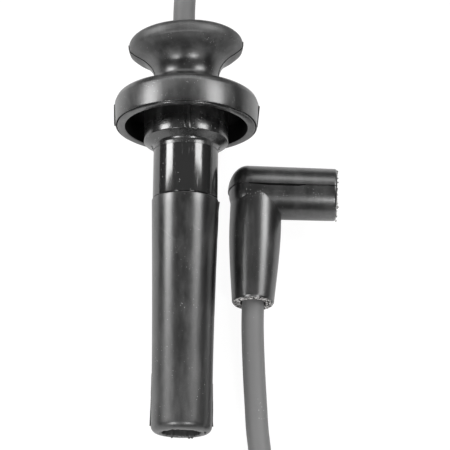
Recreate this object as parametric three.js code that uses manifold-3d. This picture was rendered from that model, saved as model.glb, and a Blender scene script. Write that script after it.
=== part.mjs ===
import * as THREE from 'three';
import { mergeVertices } from 'three/addons/utils/BufferGeometryUtils.js';
import Module from 'manifold-3d';

// A spark plug wire: a long plug boot with a sealing cap, a right-angled coil boot, and the 7 mm cable
// that joins them. It lies on its side on a flat surface. Millimetres, +Z up, the long boot along +Y.
// Along the long boot, heights count from its mouth. In the coil boot they count from the corner
// where the axes of its barrel and its leg cross.

// Fits
const clearance = 0.3;
const sheet = 0.45;

// Cable
const cableRadius = 3.5;
const boreClearance = 0.3;
const cableBore = cableRadius + boreClearance;
const cableInset = 3.7;

// Plug boot, the lower rubber part of the long end
const plugBootLength = 74;
const plugLipRadius = 9.38;
const plugLipRound = 2.2;
const plugMiddleHeight = 37;
const plugMiddleRadius = 9.66;
const plugTopRadius = 10.44;
const plugBoreRadius = 6.1;
const plugBoreDepth = 33;
const sealRibHeights = [5, 9];
const sealRibDepth = 0.3;
const sealRibHalfWidth = 0.8;

// Extension tube of hard plastic
const tubeRadius = 10.19;
const tubeTop = 106.7;
const spigotRadius = 7.2;
const spigotLength = 21.6;
const spigotChamfer = 0.8;

// Sealing cap: collar, bell, waist and knob in one rubber moulding
const collarFoot = 90;
const collarRadius = 13.3;
const coveHeight = 2.9;
const coveLip = 0.5;
const rimHeight = 97.9;
const rimRadius = 22.4;
const rimWidth = 3;
const rimRound = 0.6;
const bellTopHeight = 105.5;
const bellRadius = 22.8;
const cavityTop = 105.4;
const cavityRound = 1.2;
const collarCorner = 135;
const shoulderHeight = 108.6;
const shoulderRadius = 19.4;
const waistLine = [[14.6, 110.6], [11.2, 112.1], [10.2, 114], [10.9, 117.4], [13.2, 120.3], [16.4, 122.5]];
const knobCrease = 123.8;
const creaseRadius = 17.9;
const knobRadius = 18.2;
const knobBand = 1.4;
const knobTop = 129;
const knobFaceRadius = 13.2;
const knobFaceHeight = 3.2;

// The way the cap has set on the tube: all of it low, and its neck to one side
const capPivot = 92;
const capDroop = THREE.MathUtils.degToRad(3.3);
const neckFoot = 108;
const neckTop = 119;
const knobDroop = THREE.MathUtils.degToRad(2.1);
const knobLean = THREE.MathUtils.degToRad(2.6);

// Plug terminal: a stamped sleeve with a snap clip, crimped on the end of the cable
const terminalFoot = 34;
const terminalRadius = cableRadius + clearance + sheet;
const terminalLength = 23;
const tubeBore = terminalRadius + clearance;
const socketLength = 12.5;
const crimpLength = 8;
const slotWidth = 0.9;
const clipWire = 0.45;
const leadSetback = 2;
const leadGap = 0.45;
const clipAngle = THREE.MathUtils.degToRad(290);

// Coil boot
const barrelRadius = 8.35;
const barrelMouthRadius = 8.15;
const barrelReach = 25.5;
const barrelRound = 0.9;
const domeStart = 2.9;
const domeLength = 5.8;
const partingStep = 0.35;
const barrelBore = 5.8;
const barrelBoreDepth = 15.5;
const legRadius = 8.05;
const legBulgeRadius = 8.17;
const legBulgeAt = 13.9;
const legTaperRadius = 7.75;
const legTaperAt = 22.9;
const legEndRadius = 6.6;
const legLength = 37.5;
const legRound = 0.5;
const legBore = 4.05;
const legBoreDepth = 14;
const legInset = 4;
const chamberRadius = terminalRadius + 0.4;
const chamberEnd = 4.7;

// Coil terminal: a stamped sleeve turned through a right angle into its crimp
const coilSleeveRadius = 4;
const coilSleeveLength = 11;
const coilSleeveFoot = 8;
const coilCrimpTop = 8.2;
const strapWidth = 3;
const strapBend = 3.2;
const strapLap = 0.4;

// How the two ends lie
const plugMouth = [-13.7, -64.55];
const plugTurn = THREE.MathUtils.degToRad(0.65);
const coilCorner = [9.58, 16.02];
const coilTurn = THREE.MathUtils.degToRad(1.9);
const coilTilt = THREE.MathUtils.degToRad(1.2);
const coilFloorGap = 0.02;

// Points on the middle line of the free cable, from the knob round to the coil boot's leg
const cableRoute = [
  [-12.88, 59.74, 24.93], [-13.48, 71.45, 25.47], [-12.26, 83.05, 25.27], [-6.69, 93.2, 23.85], [2.24, 100.34, 21.52],
  [13.1, 103.51, 18.6], [24.38, 103.7, 15.38], [35.66, 103.7, 12.1], [46.99, 103.7, 9.02], [58.42, 103.35, 6.38],
  [69.29, 99.56, 4.5], [77.94, 91.78, 3.71], [82.9, 81.22, 3.7], [83.55, 69.55, 3.7], [82.81, 57.82, 3.7],
  [82.06, 46.1, 3.7], [81.31, 34.38, 3.7], [80.56, 22.66, 3.7], [79.82, 10.94, 3.7], [79.07, -0.78, 3.7],
  [78.32, -12.5, 3.7], [77.57, -24.22, 3.7], [76.83, -35.94, 3.7], [76.08, -47.66, 3.7], [75.33, -59.38, 3.7],
  [74.39, -71.08, 3.7], [70.05, -81.9, 3.7], [61.74, -90.09, 3.7], [50.85, -94.26, 3.7], [39.13, -94.68, 3.7],
  [27.68, -92.44, 3.7], [18.06, -85.85, 3.7], [11.87, -75.97, 3.7], [9.84, -64.45, 3.79], [9.09, -52.74, 4.34],
  [8.53, -41.08, 5.62], [8.23, -29.46, 7.26], [8.46, -17.75, 8.01],
];

const roundSegments = 48;
const smallSegments = 28;
const cableSides = 10;
const cableStep = 15;

const wasm = await Module();
wasm.setup();

const rubber = (color, roughness) => new THREE.MeshStandardMaterial({ color, roughness, metalness: 0 });
const metal = (color, roughness) => new THREE.MeshStandardMaterial({ color, roughness, metalness: 1 });

const point = (r, h) => new THREE.Vector2(r, h);

// An arc in a profile, from one angle to another, in degrees, round (r, h)
function arc(r, h, radiusR, radiusH, from, to, steps) {
  const points = [];
  for (let i = 0; i <= steps; i++) {
    const angle = THREE.MathUtils.degToRad(from + ((to - from) * i) / steps);
    points.push(point(r + radiusR * Math.cos(angle), h + radiusH * Math.sin(angle)));
  }
  return points;
}

// A profile revolved about Y. One that starts off the axis closes on itself.
function revolve(profile, segments = roundSegments) {
  const closed = profile[0].x > 0 ? [...profile, profile[0]] : profile;
  return new THREE.LatheGeometry(closed, segments);
}

function mesh(name, geometry, material) {
  const made = new THREE.Mesh(geometry, material);
  made.name = name;
  return made;
}

function toSolid(geometry) {
  const bare = geometry.clone();
  bare.deleteAttribute('normal');
  bare.deleteAttribute('uv');
  const merged = mergeVertices(bare, 1e-4);
  return new wasm.Manifold(new wasm.Mesh({
    numProp: 3,
    vertProperties: merged.attributes.position.array,
    triVerts: new Uint32Array(merged.index.array),
  }));
}

function toGeometry(solid) {
  const got = solid.getMesh();
  const geometry = new THREE.BufferGeometry();
  geometry.setAttribute('position', new THREE.BufferAttribute(got.vertProperties, 3));
  geometry.setIndex(new THREE.BufferAttribute(got.triVerts, 1));
  return geometry;
}

function box(width, length, height, x, y, z) {
  return new THREE.BoxGeometry(width, length, height).translate(x, y, z);
}

// Where a point of the cap comes to lie once the cap has set
function settled(x, along, z) {
  const reach = neckTop - neckFoot;
  const share = THREE.MathUtils.clamp((along - neckFoot) / reach, 0, 1);
  const ramp = (reach * share * share) / 2 + Math.max(along - neckTop, 0);
  const droop = THREE.MathUtils.lerp(capDroop, knobDroop, share);
  const leaning = knobLean * share;
  const down = (along - capPivot) * Math.tan(capDroop) - ramp * Math.tan(capDroop - knobDroop);
  return [
    x * Math.cos(leaning) - ramp * Math.tan(knobLean),
    along + x * Math.sin(leaning) + z * Math.sin(droop),
    z * Math.cos(droop) - down,
  ];
}

function settle(geometry) {
  const places = geometry.attributes.position;
  for (let i = 0; i < places.count; i++) {
    places.setXYZ(i, ...settled(places.getX(i), places.getY(i), places.getZ(i)));
  }
  return geometry;
}

// The lead runs straight from the top of the tube to the middle of the knob's face.
function bendToKnob(geometry) {
  const start = tubeTop + clearance;
  const [sideways, , down] = settled(0, knobTop, 0);
  const places = geometry.attributes.position;
  for (let i = 0; i < places.count; i++) {
    const share = Math.max(places.getY(i) - start, 0) / (knobTop - start);
    places.setX(i, places.getX(i) + share * sideways);
    places.setZ(i, places.getZ(i) + share * down);
  }
  return geometry;
}

function sealCap() {
  const socketRadius = tubeRadius + clearance;
  const socketTop = tubeTop + clearance;
  const coveWidth = collarRadius - socketRadius - coveLip;
  const innerRim = rimRadius - rimWidth;
  const waist = new THREE.SplineCurve([
    point(shoulderRadius, shoulderHeight),
    ...waistLine.map((place) => point(...place)),
    point(creaseRadius, knobCrease),
  ]);
  const outside = settle(revolve([
    point(0, collarFoot),
    ...arc(collarRadius, collarFoot, coveWidth, coveHeight, 180, 90, 5),
    point(collarRadius, cavityTop - cavityRound),
    ...arc(collarRadius + cavityRound, cavityTop - cavityRound, cavityRound, cavityRound, collarCorner, 90, 1),
    ...arc(innerRim - cavityRound, cavityTop - cavityRound, cavityRound, cavityRound, 90, 0, 3),
    point(innerRim, rimHeight),
    ...arc(rimRadius - rimRound, rimHeight + rimRound, rimRound, rimRound, 270, 360, 2),
    point(bellRadius, bellTopHeight),
    point(bellRadius - 0.7, bellTopHeight + 1.7),
    point(bellRadius - 1.9, bellTopHeight + 2.6),
    ...waist.getPoints(13),
    point(knobRadius, knobCrease + knobBand),
    ...arc(knobFaceRadius, knobTop - knobFaceHeight, knobRadius - knobFaceRadius - 0.1, knobFaceHeight, 15, 90, 5),
    point(0, knobTop),
  ]));
  const socket = revolve([
    point(0, collarFoot - coveHeight),
    point(socketRadius, collarFoot - coveHeight),
    point(socketRadius, socketTop),
    point(0, socketTop),
  ]);
  const bore = bendToKnob(revolve([
    point(0, tubeTop),
    point(cableBore, tubeTop),
    point(cableBore, socketTop),
    point(cableBore, knobTop + cableInset),
    point(0, knobTop + cableInset),
  ]));
  return toGeometry(toSolid(outside).subtract(toSolid(socket)).subtract(toSolid(bore)));
}

function upperTube() {
  const shoulder = plugBootLength + clearance;
  const foot = shoulder - spigotLength;
  return revolve([
    point(tubeBore, foot),
    point(spigotRadius - spigotChamfer, foot),
    point(spigotRadius, foot + spigotChamfer),
    point(spigotRadius, shoulder),
    point(tubeRadius, shoulder),
    point(tubeRadius, tubeTop - spigotChamfer),
    point(tubeRadius - spigotChamfer, tubeTop),
    point(tubeBore, tubeTop),
  ], 40);
}

function plugBoot() {
  const socketFoot = plugBootLength - spigotLength;
  const chamberRadiusHere = terminalRadius + clearance + 2 * clipWire + 0.2;
  const throat = terminalRadius + clearance;
  const clipSeat = terminalFoot + socketLength + clearance;
  const ribs = [...sealRibHeights].reverse().flatMap((height) => [
    point(plugBoreRadius, height + sealRibHalfWidth),
    point(plugBoreRadius - sealRibDepth, height),
    point(plugBoreRadius, height - sealRibHalfWidth),
  ]);
  return revolve([
    ...arc(plugLipRadius - plugLipRound, plugLipRound, plugLipRound, plugLipRound, 270, 360, 4),
    point(plugMiddleRadius, plugMiddleHeight),
    point(plugTopRadius, plugBootLength),
    point(spigotRadius + clearance, plugBootLength),
    point(spigotRadius + clearance, socketFoot),
    point(throat, socketFoot),
    point(throat, clipSeat),
    point(chamberRadiusHere, clipSeat),
    point(chamberRadiusHere, plugBoreDepth),
    point(plugBoreRadius, plugBoreDepth - 0.6),
    ...ribs,
    point(plugBoreRadius, 0.5),
    point(plugBoreRadius + 0.4, 0),
  ]);
}

function sleeve(radius, from, to) {
  return revolve([
    point(radius - sheet, from),
    point(radius, from),
    point(radius, to),
    point(radius - sheet, to),
  ], smallSegments);
}

// A straight sleeve whose upper side is cut away between its socket and its crimp
function plugTerminal() {
  const top = terminalFoot + terminalLength;
  const window = terminalLength - socketLength - crimpLength;
  const wide = 3 * terminalRadius;
  const middle = terminalFoot + socketLength + window / 2;
  const slotLength = socketLength - 3;
  const slotAt = terminalFoot + slotLength / 2 - 1;
  const cuts = [
    box(wide, window, wide, 0, middle, wide / 2 - 1),
    box(slotWidth, slotLength, wide, 0, slotAt, wide / 2),
    box(wide, slotLength, slotWidth, wide / 2, slotAt, 0),
    box(wide, slotLength, slotWidth, -wide / 2, slotAt, 0),
    box(slotWidth, 2 * crimpLength, wide, 0, top, wide / 2),
  ];
  const cut = cuts.reduce((left, cutter) => left.subtract(toSolid(cutter)),
    toSolid(sleeve(terminalRadius, terminalFoot, top)));
  return toGeometry(cut);
}

class Circle extends THREE.Curve {
  constructor(radius, turn) {
    super();
    this.radius = radius;
    this.turn = turn;
  }

  getPoint(t, target = new THREE.Vector3()) {
    const angle = this.turn * (t - 0.5) + Math.PI / 2;
    return target.set(this.radius * Math.cos(angle), 0, this.radius * Math.sin(angle));
  }
}

function disc(radius, sides) {
  const corners = [];
  for (let i = 0; i < sides; i++) {
    const angle = (2 * Math.PI * i) / sides;
    corners.push(point(radius * Math.cos(angle), radius * Math.sin(angle)));
  }
  return new THREE.Shape(corners);
}

function alongPath(shape, path, steps) {
  return new THREE.ExtrudeGeometry(shape, { extrudePath: path, steps, bevelEnabled: false });
}

function plugClip() {
  const radius = terminalRadius + clearance + clipWire;
  const ring = alongPath(disc(clipWire, 6), new Circle(radius, clipAngle), 24);
  return ring.translate(0, terminalFoot + socketLength / 2, 0);
}

function plugLead() {
  const foot = terminalFoot + socketLength + leadSetback;
  const top = knobTop - cableInset - leadGap;
  return bendToKnob(revolve([
    point(0, foot),
    point(cableRadius, foot),
    point(cableRadius, tubeTop + clearance),
    point(cableRadius, top),
    point(0, top),
  ], 20));
}

function barrelOutline(grow) {
  const radius = barrelRadius + grow;
  const mouth = barrelMouthRadius + grow;
  return revolve([
    ...arc(0, -domeStart, radius, domeLength + grow, 270, 360, 8).map((p) => (p.x < 1e-6 ? point(0, p.y) : p)),
    point(mouth, barrelReach - barrelRound),
    ...arc(mouth - barrelRound, barrelReach - barrelRound, barrelRound, barrelRound, 30, 90, 2),
    point(0, barrelReach),
  ]).rotateZ(-Math.PI / 2);
}

function legOutline() {
  const side = new THREE.SplineCurve([
    point(legEndRadius, -legLength + legRound),
    point(legTaperRadius, -legTaperAt),
    point(legBulgeRadius, -legBulgeAt),
    point(legRadius, 0),
  ]);
  return revolve([
    point(0, -legLength),
    point(legEndRadius - legRound, -legLength),
    ...side.getPoints(8),
    point(0, 0),
  ]);
}

// The back half of the mould stands proud of the front half, which leaves a step along the barrel.
function coilBoot() {
  const big = 4 * barrelReach;
  const back = toSolid(barrelOutline(partingStep)).intersect(toSolid(box(big, big, big, 0, big / 2, 0)));
  const mouthBore = revolve([
    point(0, barrelReach - barrelBoreDepth),
    point(barrelBore, barrelReach - barrelBoreDepth),
    point(barrelBore, barrelReach + 1),
    point(0, barrelReach + 1),
  ], smallSegments).rotateZ(-Math.PI / 2);
  const chamber = revolve([
    point(0, -chamberEnd),
    point(chamberRadius, -chamberEnd),
    point(chamberRadius, barrelReach - 1),
    point(0, barrelReach - 1),
  ], smallSegments).rotateZ(-Math.PI / 2);
  const legHole = revolve([
    point(0, -legLength - 1),
    point(legBore, -legLength - 1),
    point(legBore, -legLength + legBoreDepth),
    point(chamberRadius, -legLength + legBoreDepth + 1),
    point(chamberRadius, 0),
    point(0, 0),
  ], smallSegments);
  const outside = toSolid(barrelOutline(0)).add(back).add(toSolid(legOutline()));
  const hollow = toSolid(mouthBore).add(toSolid(chamber)).add(toSolid(legHole));
  return toGeometry(outside.subtract(hollow));
}

function coilTerminal() {
  const strapAt = coilSleeveRadius - sheet / 2;
  const crimpFoot = -coilCrimpTop - crimpLength;
  const path = new THREE.CurvePath();
  const corner = new THREE.Vector3(-strapAt, strapAt, 0);
  const bendStart = new THREE.Vector3(strapBend - strapAt, strapAt, 0);
  const bendEnd = new THREE.Vector3(-strapAt, strapAt - strapBend, 0);
  path.add(new THREE.LineCurve3(new THREE.Vector3(coilSleeveFoot + 1, strapAt, 0), bendStart));
  path.add(new THREE.QuadraticBezierCurve3(bendStart, corner, bendEnd));
  path.add(new THREE.LineCurve3(bendEnd, new THREE.Vector3(-strapAt, -coilCrimpTop - strapLap, 0)));
  const half = [strapWidth / 2, sheet / 2];
  const section = new THREE.Shape([
    point(-half[0], -half[1]), point(half[0], -half[1]), point(half[0], half[1]), point(-half[0], half[1]),
  ]);
  const strap = toSolid(alongPath(section, path, 24));
  const socket = toSolid(sleeve(coilSleeveRadius, coilSleeveFoot, coilSleeveFoot + coilSleeveLength)
    .rotateZ(-Math.PI / 2));
  const crimp = toSolid(sleeve(terminalRadius, crimpFoot, -coilCrimpTop));
  const cutters = [
    box(2 * coilSleeveLength, 3 * coilSleeveRadius, slotWidth, coilSleeveFoot + 1.6 * coilSleeveLength, 0, 0),
    box(3 * coilSleeveRadius, 3 * crimpLength, slotWidth, 1.5 * coilSleeveRadius, crimpFoot, 0),
  ];
  const whole = socket.add(crimp).add(strap);
  return toGeometry(cutters.reduce((left, cutter) => left.subtract(toSolid(cutter)), whole));
}

function coilLead() {
  const top = -coilCrimpTop - strapLap - clearance;
  const foot = -legLength + legInset;
  return revolve([point(0, foot), point(cableRadius, foot), point(cableRadius, top), point(0, top)], 20);
}

function freeCable() {
  const path = new THREE.CatmullRomCurve3(cableRoute.map((place) => new THREE.Vector3(...place)));
  return alongPath(disc(cableRadius, cableSides), path, Math.round(path.getLength() / cableStep));
}

// The long boot rests on its lip and on the rim of its bell, so the two roundings set its tilt.
function plugEndTilt() {
  const [, along, height] = settled(0, rimHeight + rimRound, -(rimRadius - rimRound));
  const rise = -height - (plugLipRadius - plugLipRound);
  const run = along - plugLipRound;
  return Math.atan2(rise, run) - Math.asin((plugLipRound - rimRound) / Math.hypot(rise, run));
}

function plugEnd() {
  const end = new THREE.Group();
  const black = rubber('#2b2b2c', 0.55);
  end.add(mesh('seal_cap', sealCap(), rubber('#303031', 0.5)));
  end.add(mesh('upper_tube', upperTube(), rubber('#262627', 0.2)));
  end.add(mesh('plug_boot', plugBoot(), black));
  end.add(mesh('plug_terminal', plugTerminal(), metal('#b8b6b0', 0.35)));
  end.add(mesh('plug_terminal_clip', plugClip(), metal('#c8c8c8', 0.3)));
  end.add(mesh('plug_lead', plugLead(), rubber('#767676', 0.6)));
  const tilt = plugEndTilt();
  const lipHeight = plugLipRadius - plugLipRound;
  end.rotation.set(tilt, 0, -plugTurn, 'ZXY');
  end.position.set(...plugMouth, plugLipRound + lipHeight * Math.cos(tilt) - plugLipRound * Math.sin(tilt));
  return end;
}

function coilEnd() {
  const end = new THREE.Group();
  end.add(mesh('coil_boot', coilBoot(), rubber('#292929', 0.5)));
  end.add(mesh('coil_terminal', coilTerminal(), metal('#b59a5a', 0.35)));
  end.add(mesh('coil_lead', coilLead(), rubber('#767676', 0.6)));
  end.rotation.set(coilTilt, 0, -coilTurn, 'ZXY');
  const underLeg = legBulgeRadius * Math.cos(coilTilt) + legBulgeAt * Math.sin(coilTilt);
  const underBarrel = (barrelRadius + partingStep) * Math.cos(coilTilt);
  end.position.set(...coilCorner, Math.max(underLeg, underBarrel) + coilFloorGap);
  return end;
}

const wire = new THREE.Group();
wire.add(plugEnd(), coilEnd(), mesh('cable', freeCable(), rubber('#787878', 0.6)));

export default wire;
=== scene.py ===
"""A spark plug wire: a long plug boot with its sealing cap, a right-angled coil boot, and the cable.

It is laid out as an add-on and run as a script. Lengths are in metres. Along the long boot, heights count
from its mouth. In the coil boot they count from the corner where the axes of its barrel and its leg cross.
"""
import math
import random

import bmesh
import bpy
from bpy.props import FloatProperty, FloatVectorProperty, IntProperty, PointerProperty
from bpy.types import Operator, Panel, PropertyGroup
from mathutils import Matrix, Vector, noise


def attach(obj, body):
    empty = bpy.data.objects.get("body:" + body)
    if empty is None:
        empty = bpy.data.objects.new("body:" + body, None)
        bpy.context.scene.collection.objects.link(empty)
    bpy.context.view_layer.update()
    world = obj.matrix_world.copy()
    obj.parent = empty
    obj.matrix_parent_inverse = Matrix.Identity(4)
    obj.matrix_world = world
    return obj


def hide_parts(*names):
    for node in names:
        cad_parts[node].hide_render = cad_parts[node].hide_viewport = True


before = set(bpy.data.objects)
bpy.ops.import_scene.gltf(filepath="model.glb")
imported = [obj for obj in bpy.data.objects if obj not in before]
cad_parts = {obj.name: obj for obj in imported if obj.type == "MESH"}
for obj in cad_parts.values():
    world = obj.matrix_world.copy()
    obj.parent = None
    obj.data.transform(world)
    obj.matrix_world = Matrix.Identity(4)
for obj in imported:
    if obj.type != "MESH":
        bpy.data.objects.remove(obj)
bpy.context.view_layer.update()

bl_info = {
    "name": "Spark plug wire",
    "version": (1, 0, 0),
    "blender": (4, 5, 0),
    "location": "View3D > Sidebar > Plug Wire",
    "description": "Dresses the boots and the cable of a spark plug wire",
    "category": "Add Mesh",
}

MM = 0.001
ROOT = "root"

# Steps round the long boot's pieces, round the coil boot and round its bores

LONG_STEPS = 192
COIL_STEPS = 160
BORE_STEPS = 96


def length(name, description, millimetres):
    """A size that is written in millimetres and kept in metres."""
    return FloatProperty(
        name=name, description=description, default=millimetres * MM, unit="LENGTH", precision=5)


def spot(name, description, *millimetres):
    """A point that is written in millimetres and kept in metres."""
    metres = tuple(part * MM for part in millimetres)
    return FloatVectorProperty(
        name=name, description=description, size=len(metres), default=metres, subtype="TRANSLATION",
        unit="LENGTH", precision=5)


def angle(name, description, degrees):
    """An angle that is written in degrees and kept in radians."""
    return FloatProperty(name=name, description=description, default=math.radians(degrees), subtype="ANGLE")


def tint(name, description, level, warm=1.0):
    """A grey, a little warmer or cooler than neutral."""
    shade = (level * warm, level, level / warm)
    return FloatVectorProperty(
        name=name, description=description, default=shade, subtype="COLOR", size=3, min=0, max=1)


def amount(name, description, value, **limits):
    """A brightness or a share, which is never negative."""
    return FloatProperty(name=name, description=description, default=value, min=0, **limits)


# Sizes and colours


class LongEnd(PropertyGroup):
    mouth: spot("Mouth", "Middle of the plug mouth on the floor plan", -13.7, -64.55)
    turn: angle("Turn", "How far the boot points to the right of straight ahead", 0.65)
    boot_length: length("Boot length", "From the mouth to the seam", 74)
    lip_radius: length("Lip radius", "Outside radius just above the rounded lip", 9.38)
    lip_round: length("Lip rounding", "Radius of the rounding of the mouth", 2.2)
    middle_height: length("Middle height", "Where the boot's taper grows steeper", 37)
    middle_radius: length("Middle radius", "Outside radius at the middle height", 9.66)
    top_radius: length("Top radius", "Outside radius at the seam", 10.44)
    bore_radius: length("Bore radius", "Radius of the spark plug's bore", 6.1)
    bore_depth: length("Bore depth", "Depth of the spark plug's bore", 33)
    seam_gap: length("Seam gap", "Gap between the boot and the tube's shoulder", 0.22)
    tube_radius: length("Tube radius", "Outside radius of the glossy tube", 10.19)
    tube_top: length("Tube top", "Height of the tube's end inside the cap", 106.7)
    tube_bore: length("Tube bore", "Radius of the tube's bore", 4.55)
    spigot_radius: length("Spigot radius", "Radius of the tube's end inside the boot", 7.2)
    spigot_length: length("Spigot length", "Length of the tube's end inside the boot", 21.6)
    fit: length("Fit", "Clearance of the pieces in one another", 0.3)
    collar_foot: length("Collar foot", "Where the cap meets the tube", 90)
    collar_radius: length("Collar radius", "Outside radius of the collar in the bell", 13.3)
    cove_height: length("Cove height", "Height of the hollow under the collar", 2.9)
    rim_height: length("Rim height", "Height of the bell's open rim", 97.9)
    rim_radius: length("Rim radius", "Outside radius of the rim", 22.4)
    rim_width: length("Rim width", "Thickness of the bell's wall at the rim", 3)
    rim_round: length("Rim rounding", "Radius of the rim's outer edge", 0.6)
    bell_radius: length("Bell radius", "Radius of the bell's shoulder", 22.8)
    bell_top: length("Bell top", "Where the bell's side ends", 105.5)
    cavity_top: length("Cavity top", "Height that the bell's hollow reaches", 105.4)
    shoulder_radius: length("Shoulder radius", "Where the bell's rounding turns into its slope", 19.4)
    shoulder_height: length("Shoulder height", "Height of that turn", 108.6)
    knob_crease: length("Knob crease", "Where the knob's underside meets its side", 123.8)
    crease_radius: length("Crease radius", "Radius of the knob at that edge", 17.9)
    knob_radius: length("Knob radius", "Largest radius of the knob", 18.2)
    knob_top: length("Knob top", "Height of the knob's flat end", 129)
    knob_face: length("Knob face", "Radius of the knob's flat end", 13.2)
    cap_pivot: length("Cap pivot", "Height about which the cap has drooped", 92)
    cap_droop: angle("Cap droop", "How far the bell points lower than the tube", 3.3)
    neck_foot: length("Neck foot", "Where the neck begins to bend", 108)
    neck_top: length("Neck top", "Where the neck is straight again", 119)
    knob_droop: angle("Knob droop", "How far the knob points lower than the tube", 2.1)
    knob_lean: angle("Knob lean", "How far the knob leans to the left", 2.6)
    rubber: tint("Boot rubber", "Colour of the lower boot", 0.006)
    cap_rubber: tint("Cap rubber", "Colour of the sealing cap", 0.009)
    tube: tint("Tube", "Colour of the glossy tube", 0.014)


class CoilEnd(PropertyGroup):
    corner: spot("Corner", "Where the barrel's axis crosses the leg's", 9.58, 16.02, 8.718)
    turn: angle("Turn", "How far the boot is turned clockwise", 1.9)
    tilt: angle("Tilt", "How far the leg drops towards the cable", 1.2)
    barrel_radius: length("Barrel radius", "Radius at the corner", 8.35)
    mouth_radius: length("Mouth radius", "Radius at the mouth", 8.15)
    barrel_reach: length("Barrel reach", "From the corner to the mouth", 25.5)
    mouth_round: length("Mouth rounding", "Radius of the mouth's outer edge", 0.9)
    dome_start: length("Dome start", "Where the barrel's blind end begins to round", 2.9)
    dome_length: length("Dome length", "Length of the rounded blind end", 5.8)
    parting_step: length("Parting step", "How far the back half stands proud", 0.35)
    bore_radius: length("Bore radius", "Radius of the tower's bore", 5.8)
    bore_depth: length("Bore depth", "Depth of the tower's bore", 15.5)
    leg_length: length("Leg length", "From the corner to the leg's end", 37.5)
    leg_radius: length("Leg radius", "Radius at the corner", 8.05)
    bulge_radius: length("Bulge radius", "Largest radius of the leg", 8.17)
    bulge_at: length("Bulge at", "Where the leg is widest", 13.9)
    taper_radius: length("Taper radius", "Radius part of the way down the taper", 7.75)
    taper_at: length("Taper at", "Where that radius is", 22.9)
    end_radius: length("End radius", "Radius at the leg's end", 6.6)
    hole_radius: length("Hole radius", "Radius of the cable's hole", 4.05)
    chamber_radius: length("Chamber radius", "Radius of the terminal's chamber", 4.65)
    rubber: tint("Coil boot rubber", "Colour of the coil boot", 0.006)
    cut: tint("Cut rubber", "Colour of the trimmed ends", 0.75, 1.02)


class CableLine(PropertyGroup):
    diameter: length("Diameter", "Outside diameter of the cable", 7)
    line_steps: IntProperty(
        name="Line steps", description="Steps between two points of the route", default=8, min=2)
    jacket: tint("Jacket", "Colour of the cable's jacket", 0.155)


class StageSetting(PropertyGroup):
    aim: spot("Aim", "Point that the camera looks at", -0.37, 0.95, 17.9)
    distance: length("Distance", "From the camera to its aim", 750)
    lean: angle("Lean", "How far the camera leans from straight above", 23.7)
    lens: FloatProperty(name="Lens", description="Focal length of the camera", default=192, unit="CAMERA")
    key: amount("Key radiance", "Brightness of the two side softboxes", 11.5)
    back: amount("Back radiance", "Brightness of the wide back softbox", 3.8)
    front: amount("Front radiance", "Brightness of the front pair", 56)
    room: amount("Room", "Brightness of the room around it", 0.11)
    shadow: amount("Shadow", "How much of the shadow the floor keeps", 0.1, max=1)


# Points between the bell's shoulder and the knob's edge: radius and height, in millimetres

WAIST_LINE = [(14.6, 110.6), (11.2, 112.1), (10.2, 114), (10.9, 117.4), (13.2, 120.3), (16.4, 122.5)]

# The route of the free cable's middle line, in millimetres, from the knob round to the coil boot's leg

CABLE_ROUTE = [
    (-12.88, 59.74, 24.93), (-13.48, 71.45, 25.47), (-12.26, 83.05, 25.27), (-6.69, 93.2, 23.85),
    (2.24, 100.34, 21.52), (13.1, 103.51, 18.6), (24.38, 103.7, 15.38), (35.66, 103.7, 12.1),
    (46.99, 103.7, 9.02), (58.42, 103.35, 6.38), (69.29, 99.56, 4.5), (77.94, 91.78, 3.71),
    (82.9, 81.22, 3.7), (83.55, 69.55, 3.7), (82.81, 57.82, 3.7), (82.06, 46.1, 3.7),
    (81.31, 34.38, 3.7), (80.56, 22.66, 3.7), (79.82, 10.94, 3.7), (79.07, -0.78, 3.7),
    (78.32, -12.5, 3.7), (77.57, -24.22, 3.7), (76.83, -35.94, 3.7), (76.08, -47.66, 3.7),
    (75.33, -59.38, 3.7), (74.39, -71.08, 3.7), (70.05, -81.9, 3.7), (61.74, -90.09, 3.7),
    (50.85, -94.26, 3.7), (39.13, -94.68, 3.7), (27.68, -92.44, 3.7), (18.06, -85.85, 3.7),
    (11.87, -75.97, 3.7), (9.84, -64.45, 3.79), (9.09, -52.74, 4.34), (8.53, -41.08, 5.62),
    (8.23, -29.46, 7.26), (8.46, -17.75, 8.01),
]


# Materials


class Value:
    """A number or a colour in a node tree. Arithmetic on it adds the Math nodes that work it out."""

    def __init__(self, shading, socket):
        self.shading = shading
        self.socket = socket

    def maths(self, operation, first, second=0.0, clamp=False):
        settings = {"operation": operation, "use_clamp": clamp}
        return self.shading.node("ShaderNodeMath", settings, {0: first, 1: second})

    def __add__(self, other):
        return self.maths("ADD", self, other)

    __radd__ = __add__

    def __mul__(self, other):
        return self.maths("MULTIPLY", self, other)

    __rmul__ = __mul__

    def __sub__(self, other):
        return self.maths("SUBTRACT", self, other)

    def __rsub__(self, other):
        return self.maths("SUBTRACT", other, self)

    def __truediv__(self, other):
        return self.maths("DIVIDE", self, other)

    def __rtruediv__(self, other):
        return self.maths("DIVIDE", other, self)

    def clamped(self):
        return self.maths("ADD", self, 0.0, clamp=True)

    def below(self, limit, soft):
        """1 where the value is under the limit, falling to 0 over the soft width past it."""
        return ((limit + soft - self) / soft).clamped()

    def above(self, limit, soft):
        """0 where the value is under the limit, rising to 1 over the soft width past it."""
        return ((self - limit) / soft).clamped()


class Shading:
    """A node tree, with one method that makes every node in it."""

    def __init__(self, tree):
        self.tree = tree

    def node(self, kind, settings=None, inputs=None, output=0):
        made = self.tree.nodes.new(kind)
        for key, value in (settings or {}).items():
            setattr(made, key, value)
        for key, value in (inputs or {}).items():
            self.feed(made.inputs[key], value)
        return Value(self, made.outputs[output])

    def feed(self, socket, value):
        if isinstance(value, Value):
            self.tree.links.new(value.socket, socket)
        else:
            socket.default_value = value

    def ray(self, kind):
        """1 for rays of this kind, such as Is Camera Ray."""
        return self.node("ShaderNodeLightPath", output=kind)


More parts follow.
